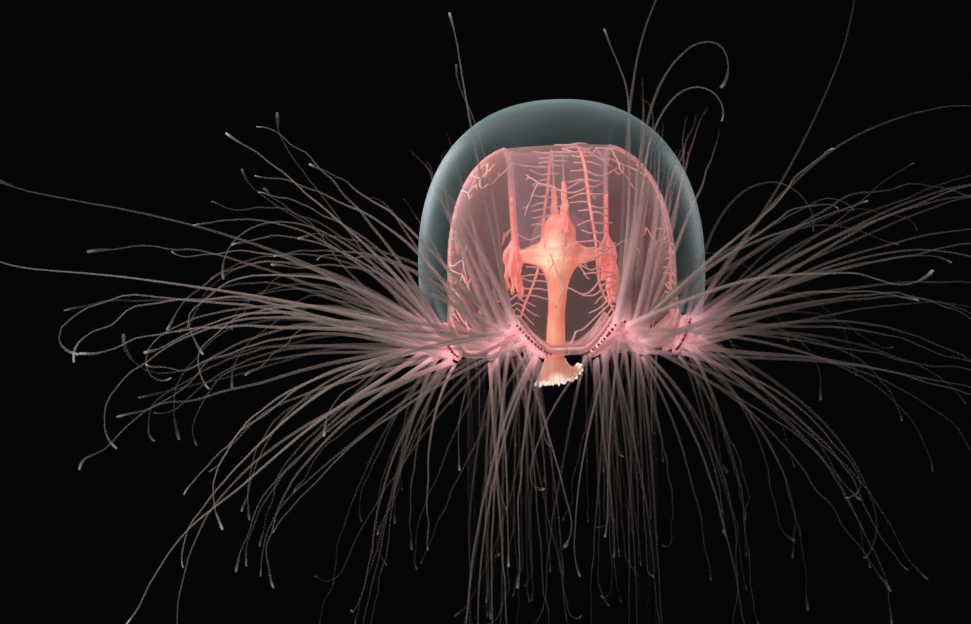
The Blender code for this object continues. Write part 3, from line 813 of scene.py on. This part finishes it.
def strand_finish():
    """Pink at the root, dusty beyond, pale at the tip, with a painted glow at the root that fades out
    within its first quarter. Each strand has its own shade, a random tint that on many strands is also
    painted shade, and a dark one is also a clear one. A tint over 1 is a rosy veil of a strand that fades away to
    its tip."""
    finish = bpy.data.materials.new("tentacle_tissue")
    finish.use_nodes = True
    nodes, links = finish.node_tree.nodes, finish.node_tree.links
    shader = nodes["Principled BSDF"]
    shader.inputs["Roughness"].default_value = 0.5
    shader.inputs["Specular IOR Level"].default_value = 0.2
    along = nodes.new("ShaderNodeAttribute")
    along.attribute_name = "along"
    tint_and_painted_shade = nodes.new("ShaderNodeAttribute")
    tint_and_painted_shade.attribute_name = "tint_and_painted_shade"

    def ramp(name, stops):
        node = nodes.new("ShaderNodeValToRGB")
        node.label = name
        first, last = node.color_ramp.elements
        first.position, last.position = stops[0][0], stops[-1][0]
        first.color, last.color = (*stops[0][1], 1), (*stops[-1][1], 1)
        for position, colour in stops[1:-1]:
            node.color_ramp.elements.new(position).color = (*colour, 1)
        links.new(along.outputs["Fac"], node.inputs["Fac"])
        return node.outputs["Color"]

    def by_tint_and_painted_shade(low, high):
        node = nodes.new("ShaderNodeMapRange")
        node.inputs["To Min"].default_value = low
        node.inputs["To Max"].default_value = high
        links.new(tint_and_painted_shade.outputs["Fac"], node.inputs["Value"])
        return node.outputs["Result"]

    colour = ramp("colour", (
        (0.0, (0.88, 0.43, 0.47)), (0.04, (0.70, 0.40, 0.42)), (0.12, (0.41, 0.30, 0.275)),
        (0.28, (0.315, 0.232, 0.212)), (0.94, (0.235, 0.21, 0.19)), (0.97, (0.46, 0.44, 0.40)),
        (1.0, (0.55, 0.53, 0.49)),
    ))
    veil = nodes.new("ShaderNodeMapRange")
    veil.inputs["From Min"].default_value = 1.0
    veil.inputs["From Max"].default_value = 1.1
    links.new(tint_and_painted_shade.outputs["Fac"], veil.inputs["Value"])
    rosy = nodes.new("ShaderNodeMix")
    rosy.data_type = "RGBA"
    rosy.inputs["B"].default_value = (0.52, 0.32, 0.315, 1)
    links.new(veil.outputs["Result"], rosy.inputs["Factor"])
    links.new(colour, rosy.inputs["A"])
    # Brightness follows the strand's tint, which is in part painted shade.
    change = nodes.new("ShaderNodeHueSaturation")
    links.new(by_tint_and_painted_shade(0.36, 1.16), change.inputs["Value"])
    links.new(rosy.outputs["Result"], change.inputs["Color"])
    links.new(change.outputs["Color"], shader.inputs["Base Color"])
    # A painted glow at the root, fading out along the first quarter of the strand.
    painted_glow = ramp("painted_glow", (
        (0.0, (0.62, 0.33, 0.35)), (0.045, (0.20, 0.108, 0.118)), (0.12, (0.022, 0.011, 0.011)),
        (0.24, (0.0, 0.0, 0.0)),
    ))
    links.new(painted_glow, shader.inputs["Emission Color"])
    shader.inputs["Emission Strength"].default_value = 1.0

    body = ramp("thickness", (
        (0.0, (0.92, 0.92, 0.92)), (0.10, (0.74, 0.74, 0.74)), (0.25, (0.52, 0.52, 0.52)),
        (0.50, (0.38, 0.38, 0.38)), (0.94, (0.28, 0.28, 0.28)), (0.97, (0.46, 0.46, 0.46)),
        (1.0, (0.55, 0.55, 0.55)),
    ))
    facing = nodes.new("ShaderNodeLayerWeight")
    facing.inputs["Blend"].default_value = 0.5
    edge = nodes.new("ShaderNodeMapRange")
    edge.inputs["To Min"].default_value = 1.15
    edge.inputs["To Max"].default_value = 0.55
    links.new(facing.outputs["Facing"], edge.inputs["Value"])
    fading = nodes.new("ShaderNodeMath")
    fading.operation = "MULTIPLY"
    links.new(along.outputs["Fac"], fading.inputs[0])
    links.new(veil.outputs["Result"], fading.inputs[1])
    kept = nodes.new("ShaderNodeMapRange")
    kept.inputs["To Min"].default_value = 1.0
    kept.inputs["To Max"].default_value = -0.05
    links.new(fading.outputs["Value"], kept.inputs["Value"])
    cover = body
    for factor in (edge.outputs["Result"], by_tint_and_painted_shade(0.24, 1.12), kept.outputs["Result"]):
        times = nodes.new("ShaderNodeMath")
        times.operation = "MULTIPLY"
        links.new(cover, times.inputs[0])
        links.new(factor, times.inputs[1])
        cover = times.outputs["Value"]
    links.new(cover, shader.inputs["Alpha"])
    return finish


tentacle_tissue = strand_finish()
# The swelling along the rim has a painted glow in its own pink.
margin_tissue = solid_finish("margin_tissue", (0.72, 0.22, 0.25), (0.90, 0.42, 0.44), 350, 0.4, 0.5, 0.28)
chance = random.Random(23)
CLUSTER_HALF_WIDTH = 12.0

# Each row is one family in a cluster: how many, how far they turn outward from the cluster,
# their climb at the root and at the tip, how late they bend, and their length in millimetres.
# Each pair is a middle and a swing about it.
LOW_FRONT = [
    (4, (54, 14), (22, 14), (-40, 40), (2.4, 1.0), (70, 16)),
    (5, (44, 20), (-14, 14), (-72, 22), (2.0, 1.0), (70, 18)),
    (9, (24, 28), (-54, 20), (-84, 20), (0.9, 0.5), (70, 16)),
    (10, (-14, 22), (-66, 12), (-88, 14), (0.8, 0.4), (64, 16)),
    (2, (19, 9), (-2, 7), (-28, 12), (1.8, 0.3), (97, 4)),
]
FRONT_LEFT = LOW_FRONT + [
    (6, (50, 14), (46, 16), (10, 40), (1.7, 0.7), (54, 12)),
    (13, (24, 16), (60, 13), (62, 12), (1.4, 0.3), (40, 7)),
    (1, (16, 0), (72, 0), (80, 0), (1.0, 0), (64, 0)),
    (1, (-60, 0), (-58, 0), (-86, 0), (0.9, 0), (56, 0)),
    (2, (-42, 12), (-66, 6), (-88, 6), (0.8, 0.2), (66, 8)),
    (2, (-72, 10), (-58, 8), (-86, 6), (0.8, 0.2), (58, 12)),
]
FRONT_RIGHT = LOW_FRONT + [
    (4, (46, 16), (48, 14), (20, 35), (1.7, 0.7), (54, 12)),
    (20, (17, 15), (70, 14), (80, 10), (1.4, 0.3), (45, 7)),
    (1, (12, 0), (84, 0), (195, 0), (7.0, 0), (62, 0)),
    (1, (20, 0), (84, 0), (20, 0), (4.5, 0), (74, 0)),
    (1, (26, 0), (77, 0), (-140, 0), (5.5, 0), (63, 0)),
    (1, (22, 0), (80, 0), (-130, 0), (4.6, 0), (78, 0)),
    (1, (-75, 0), (-30, 0), (-78, 0), (1.2, 0), (42, 0)),
    (1, (-48, 0), (-62, 0), (-86, 0), (0.9, 0), (48, 0)),
    (2, (-40, 12), (-66, 6), (-88, 6), (0.8, 0.2), (66, 8)),
    (1, (-66, 8), (-56, 8), (-84, 6), (0.8, 0.2), (60, 10)),
]
SIDE_LEFT = [
    (9, (6, 18), (4, 13), (-66, 26), (2.9, 1.4), (76, 16)),
    (5, (8, 22), (-24, 14), (-78, 18), (1.9, 0.9), (72, 18)),
    (5, (10, 26), (-54, 14), (-86, 14), (0.9, 0.5), (70, 16)),
    (5, (6, 14), (31, 5), (-66, 14), (2.3, 0.4), (66, 9)),
    (3, (8, 12), (16, 8), (-34, 22), (2.2, 0.6), (76, 10)),
    (1, (6, 0), (38, 0), (6, 0), (0.7, 0), (98, 0)),
    (1, (2, 0), (15, 0), (4, 0), (1.2, 0), (98, 0)),
    (1, (4, 0), (44, 0), (-100, 0), (3.2, 0), (60, 0)),
    (11, (2, 6), (52, 10), (10, 45), (1.6, 0.4), (57, 10)),
]
SIDE_RIGHT = [
    (4, (6, 18), (4, 13), (-62, 30), (2.8, 1.4), (66, 14)),
    (3, (8, 22), (-24, 14), (-78, 18), (1.9, 0.9), (58, 14)),
    (3, (10, 26), (-54, 14), (-86, 14), (0.9, 0.5), (62, 14)),
    (6, (10, 8), (32, 3), (-4, 10), (1.7, 0.3), (90, 8)),
    (4, (8, 14), (17, 9), (-22, 20), (2.0, 0.6), (78, 12)),
    (1, (-20, 0), (72, 0), (-100, 0), (2.4, 0), (54, 0)),
    (1, (10, 0), (56, 0), (-16, 0), (1.9, 0), (84, 0)),
    (1, (6, 0), (54, 0), (-50, 0), (1.8, 0), (52, 0)),
    (1, (8, 0), (52, 0), (88, 0), (2.0, 0), (90, 0)),
]
BACK_SIDE = [
    (2, (-6, 18), (40, 12), (-10, 50), (1.8, 0.6), (54, 10)),
    (3, (-4, 20), (26, 12), (-58, 30), (2.2, 0.8), (62, 14)),
    (3, (-2, 22), (-2, 14), (-66, 24), (2.4, 1.0), (66, 16)),
    (4, (0, 22), (-30, 14), (-80, 16), (1.6, 0.8), (66, 16)),
    (5, (-6, 16), (-58, 14), (-86, 12), (0.9, 0.5), (68, 14)),
]
BACK = [
    (1, (0, 14), (78, 6), (40, 40), (2.0, 0.5), (64, 8)),
    (4, (0, 24), (22, 22), (-60, 30), (2.0, 0.8), (66, 14)),
    (3, (0, 22), (-26, 16), (-78, 16), (1.6, 0.7), (68, 16)),
    (7, (4, 18), (-60, 16), (-86, 12), (0.9, 0.5), (70, 16)),
    (4, (46, 12), (-64, 8), (-86, 6), (0.9, 0.4), (66, 14)),
    (2, (2, 10), (2, 10), (-30, 14), (1.8, 0.3), (92, 5)),
]


def vary(pair):
    """A value somewhere in the swing of a (middle, swing) pair."""
    return pair[0] + pair[1] * chance.uniform(-1, 1)


def drift(root, azimuth, launch, ending, bend, length, hook, loose):
    """The route of one tentacle: out along launch, then bending over to ending, with a slow
    waver, small kinks in its thin half, and a curl at its tip."""
    shares = [0.94 * step / 36 for step in range(37)] + [0.955, 0.97, 0.982, 0.992, 1.0]
    phase = chance.uniform(0, 2 * math.pi)
    ripples = chance.uniform(0.8, 2.2)
    waver = chance.uniform(2, 9) * min(1.0, loose)
    swirl = chance.gauss(0, 22) * loose
    kinks = chance.uniform(20, 80) * loose
    points = [root]
    for before, after in zip(shares, shares[1:]):
        share = (before + after) / 2
        rise = launch + (ending - launch) * share ** bend
        rise += waver * share * math.sin(2 * math.pi * ripples * share + phase)
        turn = azimuth + swirl * share ** 2
        turn += 1.4 * waver * share * math.sin(2 * math.pi * 0.8 * ripples * share + 2 * phase)
        kink = max(0.0, share - 0.35) * kinks
        rise += kink * noise.noise(Vector((15 * share, phase * 9, 0)))
        turn += kink * noise.noise(Vector((15 * share, phase * 9, 5)))
        rise += hook * max(0.0, (share - 0.84) / 0.16) ** 1.3
        points.append(points[-1] + (after - before) * length * heading(turn, rise))
    return points, shares


def strand_radii(shares, thick, swell):
    radii = []
    for share in shares:
        radius = 0.12 + 0.40 * thick * (1 - share) ** 1.8
        if share > 0.94:
            radius += swell * math.sin(math.pi * (share - 0.94) / 0.075)
        radii.append(radius * MM)
    return radii


def make_cluster(number, families):
    middle = LOBE_ANGLE * (number + 0.5)
    side = 1 if middle < 180 else -1
    at_front = number in (0, LOBES - 1)
    strands = []
    chance.seed(50 + number)
    for count, turning, launching, settling, bending, long in families:
        for index in range(count):
            launch = vary(launching)
            hanging = launch < -40
            inner = 2.0 if at_front and launch > -10 else CLUSTER_HALF_WIDTH
            fanned = at_front and count > 1 and launching[0] > 55
            loose = 0.25 if count == 1 else 1.5 if hanging else 1.0
            offset = side * min(loose, 1.0) * chance.uniform(-inner, CLUSTER_HALF_WIDTH)
            azimuth = middle + offset
            rise = min(1.0, max(0.0, 0.55 + launch / 100 + chance.uniform(-0.25, 0.25)))
            out = rim_radius + (0.2 + 1.0 * math.sin(math.pi * rise)) * MM
            root = place(azimuth, out, margin_height(azimuth) + (2.0 * rise - 2.4) * MM)
            toward = middle + side * vary(turning) + (0.3 if at_front else 0.8) * offset
            away = (toward + 180) % 360 - 180
            if abs(away) < 8 and not hanging:
                toward += side * (8 - side * away)
            hook = chance.choice((0, 40, -40, 130, -130)) * chance.random()
            length = vary(long) * MM * (chance.uniform(0.42, 1.1) if hanging else 1.0)
            points, shares = drift(
                root, toward, launch, vary(settling), vary(bending), length, hook, loose
            )
            thick = chance.uniform(0.85, 1.2) * (1.6 if at_front and launch > 5 else 1.0)
            thick *= 0.65 if hanging else 1.0
            # Each strand's tint is random and in part painted shade: the strands on the right are darkened because
            # the light falls from the left, and so are those of the two clusters at the back on the left. Hanging
            # strands get darker, clearer tints.
            tint_and_painted_shade = 0.55 * chance.random() ** 2 if hanging else chance.uniform(0.15, 1.0)
            if side > 0 and not (at_front and launch > 5):
                tint_and_painted_shade *= 0.22
            elif side > 0:
                tint_and_painted_shade *= 0.7
            elif number in (4, 5):
                tint_and_painted_shade *= 0.5
            if at_front and count == 1:
                tint_and_painted_shade = max(tint_and_painted_shade, 0.45)
            elif at_front and (-40 < launch < -20 or long[0] > 90):
                thick, tint_and_painted_shade = 0.75 * thick, 0.45 * tint_and_painted_shade
            if fanned:
                thick, tint_and_painted_shade = 1.3 * thick, 2.0
            swell = 0.26 * chance.random() ** 1.5
            strands.append((points, strand_radii(shares, thick, swell), tint_and_painted_shade))
    name = f"tentacles_{number + 1}"
    mesh = sweep(strands, name, 6)
    nodes = [f"{name}_{tier}" for tier in ("raised", "spread", "hanging")]
    settle(name, mesh, [tentacle_tissue], nodes)

    points = []
    radii = []
    for step in range(61):
        offset = CLUSTER_HALF_WIDTH * 1.15 * (step / 30 - 1)
        azimuth = middle + offset
        thick = 0.45 + 0.95 * math.cos(math.radians(90 * (step / 30 - 1))) ** 0.6
        points.append(place(azimuth, rim_radius - 0.1 * MM, margin_height(azimuth) - 0.85 * thick * MM))
        radii.append(thick * MM * (1 + 0.10 * math.sin(step * 2.4)))
    mesh = sweep([(points, radii, 0.5)], f"cushion_{number + 1}", 16)
    settle(f"cushion_{number + 1}", mesh, [margin_tissue], [])


for number, families in enumerate((
    FRONT_RIGHT, SIDE_RIGHT, BACK_SIDE, BACK,
    BACK, BACK_SIDE, SIDE_LEFT, FRONT_LEFT,
)):
    make_cluster(number, families)


# ---- The eye spots -------------------------------------------------------------------------
# Tiny dark maroon beads in a row along each side of every cleft, one at the root of each of
# the outermost tentacles.

eye_pigment = solid_finish("eye_pigment", (0.16, 0.01, 0.02), (0.24, 0.02, 0.03), 900, 0.3, 0.0, 0.0)


def make_eye_spots():
    form = bmesh.new()
    for number in range(LOBES):
        middle = LOBE_ANGLE * (number + 0.5)
        for side in (-1, 1):
            for bead in range(12):
                offset = side * (1.5 + 1.25 * bead + chance.uniform(-0.2, 0.2))
                azimuth = middle + offset
                spot = place(azimuth, rim_radius + 1.0 * MM, margin_height(azimuth) + 0.25 * MM)
                size = chance.uniform(0.22, 0.32) * MM
                matrix = Matrix.Translation(spot) @ Matrix.Diagonal((size, size, size * 1.2, 1))
                bmesh.ops.create_icosphere(form, subdivisions=2, radius=1, matrix=matrix)
    mesh = bpy.data.meshes.new("eye_spots")
    form.to_mesh(mesh)
    form.free()
    settle("eye_spots", mesh, [eye_pigment], [])


make_eye_spots()


# ---- The stand -----------------------------------------------------------------------------
# A polished round slab of clear acrylic and two rods set into it, which reach up to just under
# the two lobes at the back of the bell.

def rod_finish():
    """Clear acrylic that bends what is seen through it, and lets light through unbent."""
    finish = bpy.data.materials.new("clear_acrylic")
    finish.use_nodes = True
    nodes, links = finish.node_tree.nodes, finish.node_tree.links
    shader = nodes["Principled BSDF"]
    shader.inputs["Base Color"].default_value = (0.96, 0.98, 0.98, 1)
    shader.inputs["Roughness"].default_value = 0.02
    shader.inputs["IOR"].default_value = 1.49
    shader.inputs["Transmission Weight"].default_value = 1.0
    passing = nodes.new("ShaderNodeBsdfTransparent")
    passing.inputs["Color"].default_value = (0.9, 0.92, 0.92, 1)
    ray = nodes.new("ShaderNodeLightPath")
    blend = nodes.new("ShaderNodeMixShader")
    links.new(ray.outputs["Is Shadow Ray"], blend.inputs["Fac"])
    links.new(shader.outputs["BSDF"], blend.inputs[1])
    links.new(passing.outputs["BSDF"], blend.inputs[2])
    links.new(blend.outputs["Shader"], nodes["Material Output"].inputs["Surface"])
    return finish


rod_acrylic = rod_finish()
slab_acrylic = clear_finish("slab_acrylic", (0.57, 0.64, 0.65), (0.64, 0.70, 0.71), 40, 0.12, 0.12, 0.62, 2.0, 0.5)


def upright(name, profile, steps, where, finish, nodes):
    """A turned clear piece that stands straight, not leaning with the medusa."""
    mesh = lathe(name, profile, steps)
    mesh.shade_smooth()
    mesh.set_sharp_from_angle(angle=math.radians(35))
    mesh.materials.append(finish)
    mesh.transform(Matrix.Translation(where))
    piece = bpy.data.objects.new(name, mesh)
    bpy.context.scene.collection.objects.link(piece)
    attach(piece, "root")
    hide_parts(*nodes)


def make_stand():
    low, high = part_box("stand_base")
    radius = (high.x - low.x) / 2
    edge = 1.0 * MM
    profile = [(0, high.z), (radius - edge, high.z)]
    for step in range(1, 4):
        turn = (math.pi / 2) * step / 4
        profile.append((radius - edge + edge * math.sin(turn), high.z - edge + edge * math.cos(turn)))
    profile += [(radius, high.z - edge), (radius, edge)]
    for step in range(1, 4):
        turn = (math.pi / 2) * step / 4
        profile.append((radius - edge + edge * math.cos(turn), edge - edge * math.sin(turn)))
    profile += [(radius - edge, 0), (0, 0)]
    upright("stand_slab", profile, 160, (0, 0, 0), slab_acrylic, ["stand_base"])
    for side in ("left", "right"):
        low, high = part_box(f"stand_rod_{side}")
        middle = (low + high) / 2
        radius = (high.x - low.x) / 2
        tall = high.z - low.z
        profile = [(0, tall), (radius - 0.1 * MM, tall), (radius, tall - 0.1 * MM)]
        profile += [(radius, tall * share) for share in (0.75, 0.5, 0.25)]
        profile += [(radius, 0), (0, 0)]
        foot = (middle.x, middle.y, low.z)
        upright(f"stand_post_{side}", profile, 48, foot, rod_acrylic, [f"stand_rod_{side}"])


make_stand()


# ---- Floor, light and camera ---------------------------------------------------------------
# A pale round table top, soft lamps above, behind and in front, and a camera level with the
# middle of the bell.

def make_studio():
    bpy.ops.mesh.primitive_circle_add(vertices=96, radius=0.36, fill_type="NGON", location=(0, 0, -0.0002))
    floor = bpy.context.object
    floor.name = "floor"
    pale = bpy.data.materials.new("pale_floor")
    pale.use_nodes = True
    pale.node_tree.nodes["Principled BSDF"].inputs["Base Color"].default_value = (0.46, 0.45, 0.44, 1)
    pale.node_tree.nodes["Principled BSDF"].inputs["Roughness"].default_value = 0.7
    floor.data.materials.append(pale)

    focus = Vector((0, 0, rim_plane + 15 * MM))
    for name, spot, size, power, colour in (
        ("lamp_key", (-0.36, -0.34, 0.36), 0.28, 3.0, (1.0, 0.98, 0.96)),
        ("lamp_top", (-0.08, 0.0, 0.62), 0.40, 2.2, (1.0, 0.97, 0.94)),
        ("lamp_fill", (0.45, -0.50, 0.25), 0.40, 0.60, (1.0, 0.95, 0.92)),
        ("lamp_back_left", (-0.45, 0.60, 0.35), 0.35, 3.0, (0.90, 0.96, 1.0)),
        ("lamp_back_right", (0.50, 0.50, 0.32), 0.35, 1.8, (0.90, 0.96, 1.0)),
    ):
        light = bpy.data.lights.new(name, "AREA")
        light.shape = "DISK"
        light.size = size
        light.energy = power
        light.color = colour
        lamp = bpy.data.objects.new(name, light)
        lamp.location = spot
        lamp.rotation_euler = (focus - Vector(spot)).to_track_quat("-Z", "Y").to_euler()
        bpy.context.scene.collection.objects.link(lamp)

    world = bpy.data.worlds.new("studio")
    world.use_nodes = True
    world.node_tree.nodes["Background"].inputs["Color"].default_value = (0.0016, 0.0016, 0.0016, 1)
    bpy.context.scene.world = world

    eye = bpy.data.cameras.new("camera")
    eye.lens = 100
    eye.sensor_width = 36
    camera = bpy.data.objects.new("camera", eye)
    frame_width = 204 * MM
    distance = frame_width * eye.lens / eye.sensor_width
    camera.location = (-16.6 * MM, -distance, rim_plane + 8.6 * MM)
    camera.rotation_euler = (math.radians(90), 0, 0)
    bpy.context.scene.collection.objects.link(camera)
    bpy.context.scene.camera = camera
    bpy.context.scene.cycles.transparent_max_bounces = 48
    bpy.context.scene.view_settings.view_transform = "Standard"


make_studio()
